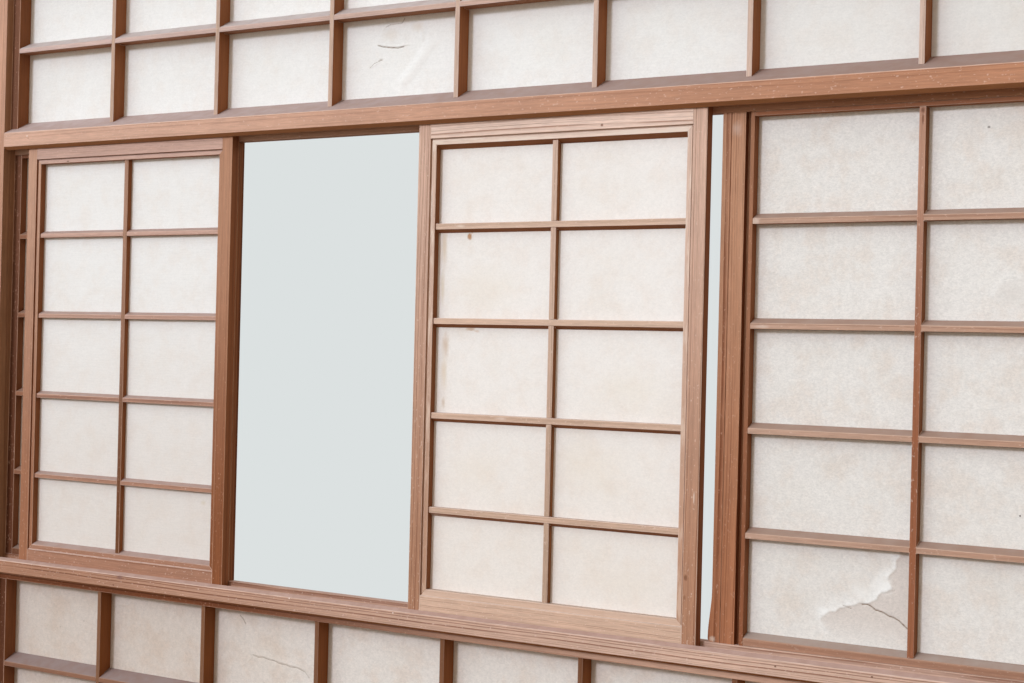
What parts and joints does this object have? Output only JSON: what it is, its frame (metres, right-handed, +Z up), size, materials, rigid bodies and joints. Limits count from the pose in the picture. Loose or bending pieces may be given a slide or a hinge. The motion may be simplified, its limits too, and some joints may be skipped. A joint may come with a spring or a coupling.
{
  "type": "shoji sliding screen",
  "caption": "Wide wooden shoji leaf with paper-backed lattice bands above and below, and small sliding lattice panels between grooved rails in its middle.",
  "frame": {"origin": "middle of the leaf's foot, on the plane of the bottom edge", "axes": "+X to the right seen from the front, front face towards -Y, +Z up"},
  "size_m": [1.277, 0.028, 0.9447],
  "materials": {
    "frame_wood": "weathered softwood with raised straight grain",
    "lattice_wood": "planed softwood, dusty on top",
    "panel_wood": "planed softwood",
    "worn_panel_wood": "weathered softwood, pale where worn",
    "paper": "matt off-white paper, stained"
  },
  "bodies": {
    "leaf": {"left_stile": "frame_wood", "right_stile": "frame_wood", "top_rail": "frame_wood", "bottom_rail": "frame_wood", "upper_track_rail": "frame_wood", "lower_track_rail": "frame_wood", "lower_band_head_strip": "lattice_wood", "upper_band_crossbar": "lattice_wood", "upper_band_bar_1": "lattice_wood", "upper_band_bar_2": "lattice_wood", "upper_band_bar_3": "lattice_wood", "upper_band_bar_4": "lattice_wood", "upper_band_bar_5": "lattice_wood", "upper_band_bar_6": "lattice_wood", "upper_band_bar_7": "lattice_wood", "upper_band_paper": "paper", "lower_band_crossbar": "lattice_wood", "lower_band_bar_1": "lattice_wood", "lower_band_bar_2": "lattice_wood", "lower_band_bar_3": "lattice_wood", "lower_band_bar_4": "lattice_wood", "lower_band_bar_5": "lattice_wood", "lower_band_bar_6": "lattice_wood", "lower_band_bar_7": "lattice_wood", "lower_band_paper": "paper", "left_post": "frame_wood", "left_lattice_bars": "lattice_wood", "left_lattice_bottom_strip": "lattice_wood", "left_lattice_top_strip": "lattice_wood", "left_lattice_paper": "paper", "right_post": "frame_wood", "right_lattice_bars": "lattice_wood", "right_lattice_bottom_strip": "lattice_wood", "right_lattice_top_strip": "lattice_wood", "right_lattice_paper": "paper"},
    "left_panel": {"left_panel_left_stile": "panel_wood", "left_panel_right_stile": "panel_wood", "left_panel_bottom_rail": "panel_wood", "left_panel_top_rail": "panel_wood", "left_panel_row_1": "panel_wood", "left_panel_row_2": "panel_wood", "left_panel_row_3": "panel_wood", "left_panel_row_4": "panel_wood", "left_panel_upright": "panel_wood", "left_panel_paper": "paper"},
    "right_panel": {"right_panel_left_stile": "worn_panel_wood", "right_panel_right_stile": "worn_panel_wood", "right_panel_bottom_rail": "worn_panel_wood", "right_panel_top_rail": "worn_panel_wood", "right_panel_row_1": "worn_panel_wood", "right_panel_row_2": "worn_panel_wood", "right_panel_row_3": "worn_panel_wood", "right_panel_row_4": "worn_panel_wood", "right_panel_upright": "worn_panel_wood", "right_panel_paper": "paper"}
  },
  "joints": [
    {"name": "left_panel_slide", "type": "slide", "parent": "leaf", "child": "left_panel", "axis": [1, 0, 0], "range_m": [-0.0343, 0.2337]},
    {"name": "right_panel_slide", "type": "slide", "parent": "leaf", "child": "right_panel", "axis": [1, 0, 0], "range_m": [0, 0.3445]}
  ]
}
